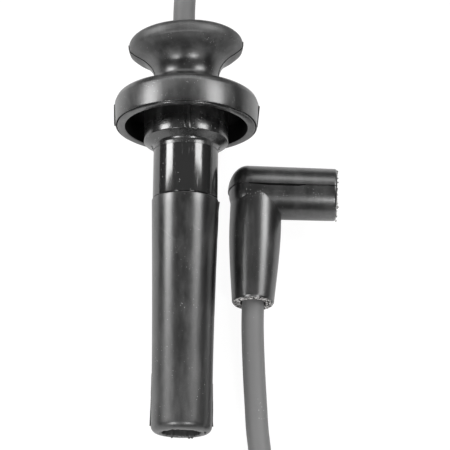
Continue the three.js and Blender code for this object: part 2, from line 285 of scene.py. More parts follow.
class Finish(Shading):
    """A material and its principled shader."""

    def __init__(self, name, colour, roughness, metallic=0.0, specular=0.5):
        self.material = bpy.data.materials.new(name)
        self.material.use_nodes = True
        super().__init__(self.material.node_tree)
        self.shader = self.tree.nodes["Principled BSDF"]
        self.colour = (*colour, 1.0)
        self.set("Base Color", self.colour)
        self.set("Roughness", roughness)
        self.set("Metallic", metallic)
        self.set("Specular IOR Level", specular)
        self.material.diffuse_color = self.colour

    def set(self, socket, value):
        self.feed(self.shader.inputs[socket], value)

    def place(self, stretch=(1, 1, 1), turn=(0, 0, 0)):
        """Object coordinates, stretched so that a pattern runs along the piece."""
        at = self.node("ShaderNodeTexCoord", output="Object")
        return self.node("ShaderNodeMapping", None, {"Vector": at, "Scale": stretch, "Rotation": turn})

    def noise(self, size, detail=2.0, rough=0.5, **where):
        """Noise from 0 to 1, whose patches are about this size in metres."""
        return self.node("ShaderNodeTexNoise", None, {
            "Vector": self.place(**where), "Scale": 1 / size, "Detail": detail, "Roughness": rough})

    def cells(self, feature, spacing, **where):
        """The distance in a pattern of cells, as a share of their spacing in metres."""
        return self.node("ShaderNodeTexVoronoi", {"feature": feature}, {
            "Vector": self.place(**where), "Scale": 1 / spacing, "Randomness": 1.0}, "Distance")

    def specks(self, spacing, radius):
        """Small round grains, about this far apart in metres; the radius is a share of the spacing."""
        wobble = self.noise(spacing * 6, 1.0)
        return self.cells("F1", spacing).below(wobble.above(0.4, 0.3) * radius, radius * 0.3)

    def hairs(self, spacing, width, **where):
        """Thin bent scratches, here and there; the width is a share of the spacing."""
        edges = self.cells("DISTANCE_TO_EDGE", spacing, **where)
        return edges.below(width, width) * self.noise(spacing * 0.7, 1.0).above(0.6, 0.08)

    def along(self, start, end):
        """0 at one place along Y, rising or falling to 1 at the other."""
        at = self.node("ShaderNodeTexCoord", output="Object")
        place = self.node("ShaderNodeSeparateXYZ", None, {"Vector": at}, "Y")
        return ((place - start) / (end - start)).clamped()

    def darker(self, share):
        """The finish's own colour at this share of its brightness."""
        return (*(share * part for part in self.colour[:3]), 1.0)

    def mix(self, factor, low, high):
        """A colour between two others. The Mix node's colours are its inputs 6 and 7 and its output 2."""
        return self.node("ShaderNodeMix", {"data_type": "RGBA"}, {0: factor, 6: low, 7: high}, 2)

    def bump(self, height, strength, distance):
        self.set("Normal", self.node("ShaderNodeBump", None, {
            "Height": height, "Strength": strength, "Distance": distance}))


def grey(level):
    return (level, level, level, 1.0)


def moulded_rubber(name, colour, *, roughness, dust, grain, matt=None, extra=0.0, gloss=None):
    """Black moulded rubber: a fine grain, cloudy patches where it was handled, and pale dust in specks.

    Grain is the strength of its relief. Matt holds two places along Y between which it grows dustier, and
    rougher by the extra roughness, and gloss two between which it grows glossier.
    """
    finish = Finish(name, colour, roughness, specular=1.0)
    clouds = finish.noise(0.007, 4.0, 0.65, stretch=(1, 0.45, 1))
    streaks = finish.noise(0.0016, stretch=(1, 0.1, 1))
    film = (clouds * 0.75 + streaks * 0.25).above(0.45, 0.25)
    fine = finish.noise(0.00032, 3.0, 0.65)
    grains = finish.specks(0.00085, 0.12)
    hairs = finish.hairs(0.014, 0.006, turn=(0.3, 0.2, 0.5))
    dusty = film * fine * (0.3 * dust) + grains * dust + hairs * (0.06 * dust)
    rough = roughness - 0.03 + film * 0.04 + fine * 0.04
    if matt:
        dull = finish.along(*matt)
        wiped = finish.noise(0.011, 3.0, 0.6, turn=(0, 0, 0.6), stretch=(1, 0.5, 1)).above(0.46, 0.2)
        dusty = dusty + dull * (wiped * fine * 0.09 + grains * 0.2)
        rough = rough + dull * extra
    if gloss:
        rough = rough - finish.along(*gloss) * 0.12
    finish.set("Base Color", finish.mix(dusty.clamped(), finish.colour, grey(0.42)))
    finish.set("Roughness", rough.clamped())
    finish.bump(fine * 0.6 + grains * 0.8 + clouds * 0.4, grain, 0.00008)
    return finish.material


def gloss_plastic(name, colour):
    """Hard black plastic, polished by its mould, with hair scratches and a few specks."""
    finish = Finish(name, colour, 0.16, specular=1.0)
    scratches = finish.noise(0.0007, stretch=(1, 0.03, 1)).above(0.62, 0.1)
    clouds = finish.noise(0.005)
    grains = finish.specks(0.0016, 0.09)
    marks = (grains * 0.5 + scratches * 0.05).clamped()
    finish.set("Base Color", finish.mix(marks, finish.colour, grey(0.4)))
    finish.set("Roughness", (0.1 + clouds * 0.08 + scratches * 0.1).clamped())
    finish.bump(scratches * 0.3 + grains + clouds * 0.4, 0.1, 0.00006)
    return finish.material


def cable_jacket(name, colour):
    """Matt grey silicone, clouded, with a few pale specks."""
    finish = Finish(name, colour, 0.55, specular=0.5)
    clouds = finish.noise(0.004, 3.0, 0.6)
    fine = finish.noise(0.0004, 3.0, 0.6)
    grains = finish.specks(0.0017, 0.1)
    base = finish.mix(clouds * 0.5 + fine * 0.3, finish.darker(0.85), finish.colour)
    finish.set("Base Color", finish.mix(grains * 0.35, base, grey(0.5)))
    finish.set("Roughness", 0.5 + fine * 0.15)
    finish.bump(fine + grains * 0.5, 0.15, 0.00005)
    return finish.material


def cut_rubber(name, colour, dark):
    """The trimmed end of a moulding: torn, pale and rough."""
    finish = Finish(name, colour, 0.8, specular=0.3)
    torn = finish.noise(0.0008, 4.0, 0.7)
    finish.set("Base Color", finish.mix(torn.above(0.46, 0.12), (*dark, 1.0), finish.colour))
    finish.bump(torn, 0.8, 0.0003)
    return finish.material


def black(name):
    """Painted shade: black for grooves, hollows and the shadow lines along flash, where little light
    reaches.
    """
    return Finish(name, (0.002, 0.002, 0.002), 0.8, specular=0.1).material


def stamped_metal(name, colour):
    """Sheet metal as it leaves the press: drawn marks and a slight bloom."""
    finish = Finish(name, colour, 0.32, metallic=1.0)
    drawn = finish.noise(0.0005, stretch=(1, 0.08, 1))
    bloom = finish.noise(0.003)
    finish.set("Base Color", finish.mix(bloom * 0.6, finish.colour, finish.darker(0.7)))
    finish.set("Roughness", 0.24 + drawn * 0.16)
    finish.bump(drawn, 0.1, 0.00004)
    return finish.material


# Shapes


def arc(centre, radii, start, end, steps):
    """Points of a profile on an arc, from one angle to another in degrees, counted from straight out.

    Radii is one radius, or one across and one up.
    """
    across, up = radii if isinstance(radii, tuple) else (radii, radii)
    angles = [math.radians(start + (end - start) * step / steps) for step in range(steps + 1)]
    return [(centre[0] + across * math.cos(a), centre[1] + up * math.sin(a)) for a in angles]


def through(points, steps):
    """A smooth line through points of two or three numbers, with this many steps between them."""
    line = [Vector(p) for p in points]
    line = [2 * line[0] - line[1], *line, 2 * line[-1] - line[-2]]
    made = []
    for a, b, c, d in zip(line, line[1:], line[2:], line[3:]):
        for step in range(steps):
            t = step / steps
            ab, bc, cd = (math.sqrt((q - p).length) for p, q in ((a, b), (b, c), (c, d)))
            leave = ((b - a) / ab - (c - a) / (ab + bc) + (c - b) / bc) * bc
            reach = ((c - b) / bc - (d - b) / (bc + cd) + (d - c) / cd) * bc
            rise = b + leave * t + (3 * (c - b) - 2 * leave - reach) * t ** 2
            made.append(tuple(rise + (2 * (b - c) + leave + reach) * t ** 3))
    return [*made, tuple(line[-2])]


def turned(profile, steps=LONG_STEPS):
    """A profile of radius and height, turned about the Y axis. One that starts off the axis is closed."""
    shape = bmesh.new()
    points = [shape.verts.new((radius, height, 0)) for radius, height in profile]
    ends = points[1:] + ([points[0]] if profile[0][0] > 0 else [])
    edges = [shape.edges.new(pair) for pair in zip(points, ends)]
    bmesh.ops.spin(
        shape, geom=points + edges, cent=(0, 0, 0), axis=(0, 1, 0), dvec=(0, 0, 0), angle=2 * math.pi,
        steps=steps, use_merge=True, use_duplicate=False)
    bmesh.ops.remove_doubles(shape, verts=shape.verts, dist=1e-6)
    bmesh.ops.recalc_face_normals(shape, faces=shape.faces)
    return shape


def add_bar(shape, rows, material):
    """A bar through rows of four corners."""
    rows = [[shape.verts.new(corner) for corner in row] for row in rows]
    faces = [shape.faces.new(rows[0]), shape.faces.new(rows[-1])]
    for row, other in zip(rows, rows[1:]):
        faces += [shape.faces.new((row[k], row[k - 1], other[k - 1], other[k])) for k in range(4)]
    bmesh.ops.recalc_face_normals(shape, faces=faces)
    for face in faces:
        face.material_index = material


def add_fin(shape, line, side, heights, half, seed, above=0):
    """Flash along a line of radius and height, in the mould's parting plane, on this side of the axis.

    Heights holds pairs of a place along the line, from 0 to 1, and how far the flash stands out there. Half
    is half its thickness, and above is how far the plane lies over the axis.
    """
    chance = random.Random(seed)
    line = [Vector(point) for point in line]
    root = 0.12 * MM
    least = 0.02 * MM
    rows = []
    for number, point in enumerate(line):
        before, after = line[max(number - 1, 0)], line[min(number + 1, len(line) - 1)]
        run = (after - before).normalized()
        out = Vector((run.y, -run.x))
        share = number / (len(line) - 1)
        for (start, low), (end, high) in zip(heights, heights[1:]):
            if start <= share <= end:
                height = low + (high - low) * (share - start) / (end - start)
        tip = point + out * (height * chance.uniform(0.75, 1.2) + least)
        foot = point - out * root
        wide = half * chance.uniform(0.8, 1.2)
        aside = math.sqrt(1 - (above / point.x) ** 2)
        rows.append([
            (side * at.x * aside, at.y, above * at.x / point.x + z)
            for at, z in ((foot, wide), (tip, 0.3 * wide), (tip, -0.3 * wide), (foot, -wide))])
    # The second material is darker, a painted shade for the shadow line along the flash
    add_bar(shape, rows, 1)


def add_crumb(shape, at, size, chance, material):
    """A torn crumb of rubber. Its place picks its own patch of noise, so that no two are alike."""
    made = bmesh.ops.create_icosphere(shape, subdivisions=2, radius=1.0)["verts"]
    turn = Matrix.Rotation(chance.uniform(0, 6.28), 3, Vector((chance.random(), chance.random(), 1)))
    scale = [size * chance.uniform(0.6, 1.3) for _ in range(3)]
    patch = Vector((at[0] * 5000, at[1] * 5000, 0))
    for point in made:
        rough = 1 + 0.35 * noise.noise(point.co * 2.1 + patch)
        point.co = turn @ Vector(c * k * rough for c, k in zip(point.co, scale)) + Vector(at)
    for face in {face for point in made for face in point.link_faces}:
        face.material_index = material


def placed(name, data):
    """An object at the origin that holds this data."""
    made = bpy.data.objects.new(name, data)
    bpy.context.scene.collection.objects.link(made)
    return made


def mesh_object(name, shape):
    """An object whose mesh is the shape, which is used up."""
    mesh = bpy.data.meshes.new(name)
    shape.to_mesh(mesh)
    shape.free()
    return placed(name, mesh)


def made_piece(name, shape, place, materials, sharp=35):
    """A piece whose mesh is the shape, moved to its place, with edges crisp past the sharp angle."""
    bmesh.ops.transform(shape, matrix=place, verts=shape.verts)
    for face in shape.faces:
        face.smooth = True
    for edge in shape.edges:
        edge.smooth = not (edge.is_manifold and edge.calc_face_angle() > math.radians(sharp))
    piece = mesh_object(name, shape)
    for material in materials:
        piece.data.materials.append(material)
    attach(piece, ROOT)
    return piece


def combined(shape, others):
    """A shape with others joined to it or cut from it, in order; others holds (operation, shape) pairs."""
    base = mesh_object("spare", shape)
    tools = []
    for operation, other in others:
        tools.append(mesh_object("spare", other))
        modifier = base.modifiers.new(operation, "BOOLEAN")
        modifier.operation = operation
        modifier.solver = "EXACT"
        modifier.object = tools[-1]
    bpy.context.view_layer.update()
    result = bmesh.new()
    result.from_mesh(base.evaluated_get(bpy.context.evaluated_depsgraph_get()).to_mesh())
    for holder in [base, *tools]:
        mesh = holder.data
        bpy.data.objects.remove(holder)
        bpy.data.meshes.remove(mesh)
    return result


# The way the pieces lie


def lying(origin, tilt, turn):
    """The place of an end of the lead that lies turned and tilted at this point."""
    return Matrix.Translation(origin) @ Matrix.Rotation(-turn, 4, "Z") @ Matrix.Rotation(tilt, 4, "X")


def settled(s, place):
    """Where a point of the cap comes to lie once the cap has set on the tube."""
    x, along, z = place
    reach = s.neck_top - s.neck_foot
    share = min(max((along - s.neck_foot) / reach, 0), 1)
    ramp = reach * share * share / 2 + max(along - s.neck_top, 0)
    droop = s.cap_droop + (s.knob_droop - s.cap_droop) * share
    leaning = s.knob_lean * share
    down = (along - s.cap_pivot) * math.tan(s.cap_droop) - ramp * math.tan(s.cap_droop - s.knob_droop)
    return Vector((
        x * math.cos(leaning) - ramp * math.tan(s.knob_lean),
        along + x * math.sin(leaning) + z * math.sin(droop),
        z * math.cos(droop) - down))


def bent_to_knob(s, place):
    """The cable and its bore run straight from the top of the tube to the middle of the knob's face."""
    start = s.tube_top + s.fit
    end = settled(s, (0, s.knob_top, 0))
    share = max(place[1] - start, 0) / (s.knob_top - start)
    return Vector((place[0] + share * end.x, place[1], place[2] + share * end.z))


def long_place():
    """The long boot lies on its lip and on the bell's rim, so their roundings set its tilt."""
    s = bpy.context.scene.wire_long_end
    low = settled(s, (0, s.rim_height + s.rim_round, s.rim_round - s.rim_radius))
    rise = -low.z - (s.lip_radius - s.lip_round)
    run = low.y - s.lip_round
    tilt = math.atan2(rise, run) - math.asin((s.lip_round - s.rim_round) / math.hypot(rise, run))
    height = s.lip_round + (s.lip_radius - s.lip_round) * math.cos(tilt) - s.lip_round * math.sin(tilt)
    return lying((*s.mouth, height), tilt, s.turn)


def coil_place():
    s = bpy.context.scene.wire_coil_end
    return lying(s.corner, s.tilt, s.turn)


# Pieces


class SPARKWIRE_OT_cable(Operator):
    """Lay the free cable along its route"""

    bl_idname = "spark_wire.cable"
    bl_label = "Cable"

    def execute(self, context):
        s = context.scene.wire_cable
        route = [Vector(point) * MM for point in CABLE_ROUTE]
        line = through(route, s.line_steps)
        curve = bpy.data.curves.new("free_cable", "CURVE")
        curve.dimensions = "3D"
        curve.bevel_depth = s.diameter / 2
        curve.bevel_resolution = 14
        curve.use_fill_caps = True
        spline = curve.splines.new("POLY")
        spline.points.add(len(line) - 1)
        for point, place in zip(spline.points, line):
            point.co = (*place, 1.0)
        spline.use_smooth = True
        curve.materials.append(cable_jacket("cable_grey", s.jacket))
        cable = placed("free_cable", curve)
        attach(cable, ROOT)
        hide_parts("cable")
        return {"FINISHED"}


class SPARKWIRE_OT_seal_cap(Operator):
    """Turn the sealing cap: collar, bell, waist and knob in one moulding"""

    bl_idname = "spark_wire.seal_cap"
    bl_label = "Sealing cap"

    def execute(self, context):
        s = context.scene.wire_long_end
        socket = s.tube_radius + 0.05 * MM
        bore = context.scene.wire_cable.diameter / 2 + 0.12 * MM
        inner_rim = s.rim_radius - s.rim_width
        lip = socket + 0.06 * MM
        fillet = 1.2 * MM
        corner = 1.2 * MM
        edge = 0.25 * MM
        bead = 0.5 * MM
        bore_round = 0.5 * MM
        knob_round = 3.2 * MM
        knob_width = s.knob_radius - s.knob_face
        bell = through([
            (s.bell_radius, s.bell_top),
            (s.bell_radius - 0.7 * MM, s.bell_top + 1.7 * MM),
            (s.bell_radius - 1.9 * MM, s.bell_top + 2.6 * MM),
            (s.shoulder_radius, s.shoulder_height),
        ], 4)[:-1]
        hollow = through([
            (s.shoulder_radius, s.shoulder_height),
            *((radius * MM, height * MM) for radius, height in WAIST_LINE),
            (s.crease_radius, s.knob_crease),
        ], 8)
        knob = [
            (s.knob_radius, s.knob_crease + 0.9 * MM),
            (s.knob_radius, s.knob_crease + 1.6 * MM),
            *arc((s.knob_face, s.knob_top - knob_round), (knob_width, knob_round), 3, 90, 14),
        ]
        # The side starts in the groove round the rim
        side = [
            (s.rim_radius - 0.45 * MM, s.rim_height + 0.75 * MM),
            (s.rim_radius - 0.25 * MM, s.rim_height + 0.5 * MM),
            *arc((s.rim_radius - 0.2 * MM, s.rim_height + 0.65 * MM), 0.2 * MM, 290, 360, 3),
            (s.rim_radius + 0.05 * MM, s.rim_height + 1.6 * MM),
            *bell,
        ]
        # The foot is a thin lip, a rounded cove and the cone out to the collar
        foot = [
            (lip, s.collar_foot),
            *arc((lip + fillet, s.collar_foot + 0.7 * MM), fillet, 180, 120, 9),
            *arc((s.collar_radius - edge, s.collar_foot + s.cove_height + edge), edge, 300, 360, 3),
        ]
        shape = turned([
            (socket, s.collar_foot),
            *foot,
            (s.collar_radius, s.collar_foot + 5 * MM),
            (s.collar_radius, s.cavity_top - corner),
            *arc((s.collar_radius + corner, s.cavity_top - corner), corner, 180, 90, 5)[1:],
            *arc((inner_rim - corner, s.cavity_top - corner), corner, 90, 0, 6),
            *arc((inner_rim + edge, s.rim_height + edge), edge, 180, 270, 3),
            *arc((s.rim_radius - 0.55 * MM - bead, s.rim_height + bead), bead, 270, 360, 5),
            *side,
            *hollow,
            *knob,
            (bore + 1.8 * MM, s.knob_top),
            *arc((bore + bore_round, s.knob_top - bore_round), bore_round, 90, 180, 4),
            (bore, s.tube_top + s.fit),
            (socket, s.tube_top + s.fit),
        ])
        self.groove_collar(shape, s)
        self.add_flash(shape, side, hollow, knob, foot)
        self.shade(shape, s)
        self.settle(shape, s, socket, bore)
        rubber = moulded_rubber(
            "cap_rubber", s.cap_rubber, roughness=0.34, dust=0.8, grain=0.25,
            matt=(53.5 * MM, 55.5 * MM), extra=0.2, gloss=(33 * MM, 30 * MM))
        # The second material is painted shade: black in the bell's hollow, the rim's groove and along the
        # flash
        cap = made_piece("sealing_cap", shape, long_place(), [rubber, black("cap_shade")])
        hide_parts("seal_cap")
        return {"FINISHED"}

    def groove_collar(self, shape, s):
        """Two fine grooves down the near side of the collar, with a rib between them."""
        low = s.collar_foot + s.cove_height + 0.5 * MM
        spacing = 360 / LONG_STEPS
        columns = (0, 4)
        pull = 0.96
        for point in shape.verts:
            on_side = abs(math.hypot(point.co.x, point.co.z) - s.collar_radius) < 0.02 * MM
            if not on_side or point.co.z < 0 or not low < point.co.y < s.cavity_top:
                continue
            column = round(math.degrees(math.atan2(point.co.x, point.co.z)) / spacing)
            if column in columns:
                point.co.x *= pull
                point.co.z *= pull

    def add_flash(self, shape, side, hollow, knob, foot):
        """The thin flash in the mould's parting plane, left and right.

        It runs up the bell's side, over its shoulder into the waist, out under the knob, and along the cove.
        """
        low = 0.1 * MM
        left = [(0, 0.25 * MM), (0.5, 0.42 * MM), (1, low)]
        right = [(0, low), (0.5, 0.15 * MM), (0.75, 0.5 * MM), (1, low)]
        even = [(0, low), (1, low)]
        at_edge = [(0, low), (0.8, low), (1, 0.25 * MM)]
        at_foot = [(0, 0.35 * MM), (0.4, low), (1, low)]
        over_shoulder = side[9:] + hollow[:12]
        under_knob = hollow[16:] + knob[:3]
        for way, on_side in ((-1, left), (1, right)):
            add_fin(shape, side[4:9], way, on_side, 0.16 * MM, 2 + way)
            add_fin(shape, over_shoulder, way, even, 0.08 * MM, 5 + way)
            add_fin(shape, under_knob, way, at_edge, 0.28 * MM, 8 + way, above=1.8 * MM)
            add_fin(shape, foot[1:11], way, at_foot, 0.16 * MM, 11 + way)

    def shade(self, shape, s):
        """The bell's hollow and the groove round its rim take the second material, black as painted shade.
        """
        over_rim = s.rim_height + 1 * MM
        for face in shape.faces:
            middle = face.calc_center_median()
            radius = math.hypot(middle.x, middle.z)
            in_ring = s.collar_radius + 0.3 * MM < radius < s.rim_radius - s.rim_width + 0.01 * MM
            in_groove = s.rim_radius - 0.56 * MM < radius < s.rim_radius - 0.26 * MM
            in_hollow = in_ring and over_rim < middle.y < s.cavity_top + 0.1 * MM
            if in_hollow or (in_groove and middle.y < over_rim):
                face.material_index = 1

    def settle(self, shape, s, socket, bore):
        """The cap droops on the tube, its bore follows the cable, and its socket stays true to the tube."""
        for point in shape.verts:
            radius = math.hypot(point.co.x, point.co.z)
            if radius < bore + 0.1 * MM:
                point.co = bent_to_knob(s, point.co)
            elif radius > socket + 0.02 * MM or point.co.y > s.tube_top + 1 * MM:
                share = min((point.co.y - s.collar_foot) / s.cove_height, 1)
                point.co = point.co.lerp(settled(s, point.co), max(share, 0))


class SPARKWIRE_OT_tube(Operator):
    """Turn the glossy extension tube"""

    bl_idname = "spark_wire.tube"
    bl_label = "Extension tube"

    def execute(self, context):
        s = context.scene.wire_long_end
        shoulder = s.boot_length + s.seam_gap
        foot = s.boot_length + s.fit - s.spigot_length
        edge = 0.25 * MM
        bevel = 0.8 * MM
        shape = turned([
            (s.tube_bore, foot),
            (s.spigot_radius - bevel, foot),
            (s.spigot_radius, foot + bevel),
            (s.spigot_radius, shoulder),
            *arc((s.tube_radius - edge, shoulder + edge), edge, 270, 360, 4),
            (s.tube_radius, s.collar_foot),
            (s.tube_radius, s.tube_top - bevel),
            (s.tube_radius - bevel, s.tube_top),
            (s.tube_bore, s.tube_top),
        ])
        tube = made_piece("extension_tube", shape, long_place(), [gloss_plastic("tube_gloss", s.tube)])
        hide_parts("upper_tube")
        return {"FINISHED"}


class SPARKWIRE_OT_plug_boot(Operator):
    """Turn the plug boot, with its rounded lip, its bore and its sealing ribs"""

    bl_idname = "spark_wire.plug_boot"
    bl_label = "Plug boot"

    def execute(self, context):
        s = context.scene.wire_long_end
        edge = 0.3 * MM
        bore_edge = 0.4 * MM
        socket = s.spigot_radius + s.fit
        spigot_end = s.boot_length - s.spigot_length
        chamber = 5.65 * MM
        throat = 4.55 * MM
        seat = 46.8 * MM
        rib_depth = 0.3 * MM
        rib_half = 0.8 * MM
        ribs = []
        for height in (9 * MM, 5 * MM):
            ribs += arc((s.bore_radius, height), (rib_depth, rib_half), 90, 270, 8)
        side = through([
            (s.lip_radius, s.lip_round),
            (s.lip_radius + 0.04 * MM, 20 * MM),
            (s.middle_radius, s.middle_height),
            (s.top_radius, s.boot_length - edge),
        ], 12)
        shape = turned([
            *arc((s.lip_radius - s.lip_round, s.lip_round), s.lip_round, 270, 352, 10),
            *side,
            *arc((s.top_radius - edge, s.boot_length - edge), edge, 15, 90, 4),
            (socket, s.boot_length),
            (socket, spigot_end),
            (throat, spigot_end),
            (throat, seat),
            (chamber, seat),
            (chamber, s.bore_depth),
            (s.bore_radius, s.bore_depth - 0.6 * MM),
            *ribs,
            (s.bore_radius, 2 * MM),
            (s.bore_radius, 1.2 * MM),
            *arc((s.bore_radius + bore_edge, bore_edge), bore_edge, 180, 270, 4),
        ])
        self.tear_lip(shape, s)
        half = 0.16 * MM
        near_mouth = [(0, 0.3 * MM), (1, 0.05 * MM)]
        near_seam = [(0, 0), (0.6, 0.08 * MM), (0.93, 0.22 * MM), (1, 0.45 * MM)]
        add_fin(shape, side[24:], 1, near_seam, half, 21)
        add_fin(shape, side[:10], 1, near_mouth, half, 22)
        add_fin(shape, side[:12], -1, near_mouth, half, 23)
        chance = random.Random(7)
        # Crumbs on the mouth: two places across it and a size, in millimetres
        for x, z, size in ((7.3, 1.5, 0.45), (2.3, -5.9, 0.5), (3.2, -5.6, 0.35), (-3, -5.8, 0.3)):
            add_crumb(shape, (x * MM, -0.2 * MM, z * MM), size * MM, chance, 0)
        rubber = moulded_rubber(
            "plug_boot_rubber", s.rubber, roughness=0.29, dust=0.6, grain=0.3,
            matt=(-10 * MM, -50 * MM), extra=0.1)
        # The flash's darker, duller finish is painted shade for the shadow line along it
        flash = Finish("boot_flash_painted_shade", (0.02, 0.02, 0.02), 0.6, specular=0.3)
        boot = made_piece("plug_boot_moulding", shape, long_place(), [rubber, flash.material])
        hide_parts("plug_boot")
        return {"FINISHED"}

    def tear_lip(self, shape, s):
        """The mouth's inner edge is torn where the mould's core was drawn."""
        for point in shape.verts:
            radius = math.hypot(point.co.x, point.co.z)
            if point.co.y < 1.5 * MM and radius < s.bore_radius + 0.9 * MM:
                rough = noise.noise(Vector((point.co.x, point.co.z, 0)) / (1.1 * MM))
                pull = 1 - 0.09 * max(rough, -0.1)
                point.co.x *= pull
                point.co.z *= pull
                point.co.y -= 0.25 * MM * rough


class SPARKWIRE_OT_coil_boot(Operator):
    """Join the coil boot's barrel, its proud back half and its leg, and hollow them"""

    bl_idname = "spark_wire.coil_boot"
    bl_label = "Coil boot"

    def barrel(self, s, grow):
        """The barrel with its domed blind end, along X, grown by this much."""
        radius = s.barrel_radius + grow
        mouth = s.mouth_radius + grow
        dome = arc((0, -s.dome_start), (radius, s.dome_length + grow), 270, 360, 26)
        dome[0] = (0, dome[0][1])
        start = s.barrel_reach - s.mouth_round
        return self.sideways(turned([
            *dome,
            (mouth, start),
            *arc((mouth - s.mouth_round, start), s.mouth_round, 12, 90, 7),
            (0, s.barrel_reach),
        ], COIL_STEPS))

    def sideways(self, shape):
        """A shape turned from Y to X."""
        turn = Matrix.Rotation(-math.pi / 2, 3, "Z")
        bmesh.ops.rotate(shape, cent=(0, 0, 0), matrix=turn, verts=shape.verts)
        return shape

    def back_half(self, s):
        """The half behind the parting, which stands proud of the other."""
        back = self.barrel(s, s.parting_step)
        whole = back.verts[:] + back.edges[:] + back.faces[:]
        cut = bmesh.ops.bisect_plane(
            back, geom=whole, plane_co=(0, 0, 0), plane_no=(0, -1, 0), clear_outer=True)
        rim = [part for part in cut["geom_cut"] if isinstance(part, bmesh.types.BMEdge)]
        bmesh.ops.contextual_create(back, geom=rim)
        bmesh.ops.recalc_face_normals(back, faces=back.faces)
        return back

    def leg(self, s):
        """The leg, whose end is torn round the cable's hole."""
        side = through([
            (s.end_radius, 0.5 * MM - s.leg_length),
            (s.taper_radius, -s.taper_at),
            (s.bulge_radius, -s.bulge_at),
            (s.leg_radius, 0),
        ], 14)
        end = [(s.end_radius - (0.35 + 0.4 * step) * MM, -s.leg_length) for step in range(6)]
        shape = turned([(0, -s.leg_length), *reversed(end), *side, (0, 0)], COIL_STEPS)
        for point in shape.verts:
            radius = math.hypot(point.co.x, point.co.z)
            if point.co.y < 0.01 * MM - s.leg_length and 1 * MM < radius < s.end_radius - 0.5 * MM:
                point.co.y += 0.4 * MM * noise.noise(Vector((point.co.x, point.co.z, 3)) / (0.8 * MM))
        return shape

    def hollow(self, s):
        """The tower's bore, the terminal's chamber and the cable's hole."""
        mouth = s.barrel_reach + 1 * MM
        bore_end = s.barrel_reach - s.bore_depth
        chamber_end = -4.7 * MM
        chamber_top = s.barrel_reach - 1 * MM
        leg_end = -s.leg_length - 1 * MM
        hole_top = 14 * MM - s.leg_length
        bore = self.sideways(turned([
            (0, bore_end), (s.bore_radius, bore_end), (s.bore_radius, mouth), (0, mouth)], BORE_STEPS))
        chamber = self.sideways(turned([
            (0, chamber_end), (s.chamber_radius, chamber_end), (s.chamber_radius, chamber_top),
            (0, chamber_top)], BORE_STEPS))
        hole = turned([
            (0, leg_end), (s.hole_radius, leg_end), (s.hole_radius, hole_top),
            (s.chamber_radius, 15 * MM - s.leg_length), (s.chamber_radius, 0), (0, 0)], BORE_STEPS)
        return [("DIFFERENCE", bore), ("DIFFERENCE", chamber), ("DIFFERENCE", hole)]

    def add_lap(self, shape, s):
        """Flash that hangs over the step between the halves, along the middle of the barrel."""
        steps = 40
        thick = 0.3 * MM
        back = 0.1 * MM
        rows = []
        for step in range(steps + 1):
            share = step / steps
            x = (-2.5 + 18 * share) * MM
            z = s.barrel_radius + (s.mouth_radius - s.barrel_radius) * x / s.barrel_reach + 0.05 * MM
            wide = (0.1 + 0.45 * min(1, 3 * share, 9 * (1 - share))) * MM
            rows.append([(x, back, z), (x, -wide, z), (x, -wide, z - thick), (x, back, z - thick)])
        # The third material is black, a painted shade for the shadow line under the flash
        add_bar(shape, rows, 2)

    def add_bead(self, shape, s):
        """A raised bead where the leg's right side meets the barrel, pale as a painted highlight."""
        steps = 24
        depth = 0.2 * MM
        rows = []
        for step in range(steps + 1):
            around = math.radians(76 - 36 * step / steps)
            middle = Vector((s.leg_radius * math.cos(around), 0, s.leg_radius * math.sin(around)))
            middle.y = -math.sqrt(s.barrel_radius ** 2 - middle.z ** 2)
            out = Vector((middle.x, middle.y, 2 * middle.z)).normalized()
            wide = 0.13 * MM * math.sin(math.pi * (step + 1) / (steps + 2))
            over = Vector((wide, -wide, 0))
            top = middle + out * wide
            bottom = middle - out * depth
            rows.append([top + over, top - over, bottom - over, bottom + over])
        # The second material is the pale cut rubber, here a painted highlight along the joint
        add_bar(shape, rows, 1)

    def crumble(self, shape, s):
        """Crumbs round the mouth."""
        chance = random.Random(3)
        for _ in range(46):
            around = math.radians(chance.uniform(-65, 235))
            radius = chance.uniform(6.3, 8.1) * MM
            out = s.barrel_reach + chance.uniform(-0.1, 0.25) * MM
            at = (out, radius * math.cos(around), radius * math.sin(around))
            add_crumb(shape, at, chance.uniform(0.14, 0.4) * MM, chance, 1)

    def execute(self, context):
        s = context.scene.wire_coil_end
        others = [("UNION", self.back_half(s)), ("UNION", self.leg(s)), *self.hollow(s)]
        shape = combined(self.barrel(s, 0), others)
        for face in shape.faces:
            if face.calc_center_median().y < 0.25 * MM - s.leg_length:
                face.material_index = 1
        self.crumble(shape, s)
        self.add_lap(shape, s)
        self.add_bead(shape, s)
        rubber = moulded_rubber("coil_boot_rubber", s.rubber, roughness=0.31, dust=0.6, grain=0.35)
        # Pale cut rubber: the trimmed end and the crumbs, and a painted highlight on the bead
        # The black is painted shade under the flash along the barrel
        cut_end_and_highlight = cut_rubber("trimmed_rubber_and_painted_highlight", s.cut, s.rubber)
        materials = [rubber, cut_end_and_highlight, black("coil_boot_shade")]
        boot = made_piece("coil_boot_moulding", shape, coil_place(), materials, sharp=28)
        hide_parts("coil_boot")
        return {"FINISHED"}


class SPARKWIRE_OT_inner_parts(Operator):
    """Give the terminals and the cable's hidden stretches their metal and jacket"""

    bl_idname = "spark_wire.inner_parts"
    bl_label = "Terminals and inner cable"

    def execute(self, context):
        steel = stamped_metal("terminal_steel", (0.6, 0.59, 0.57))
        brass = stamped_metal("terminal_brass", (0.62, 0.48, 0.24))
        jacket = cable_jacket("inner_cable_grey", context.scene.wire_cable.jacket)
        for node, material in (
            ("plug_terminal", steel), ("plug_terminal_clip", steel), ("coil_terminal", brass),
            ("plug_lead", jacket), ("coil_lead", jacket),
        ):
            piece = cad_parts[node]
            piece.data.materials.clear()
            piece.data.materials.append(material)
        return {"FINISHED"}


# Stage


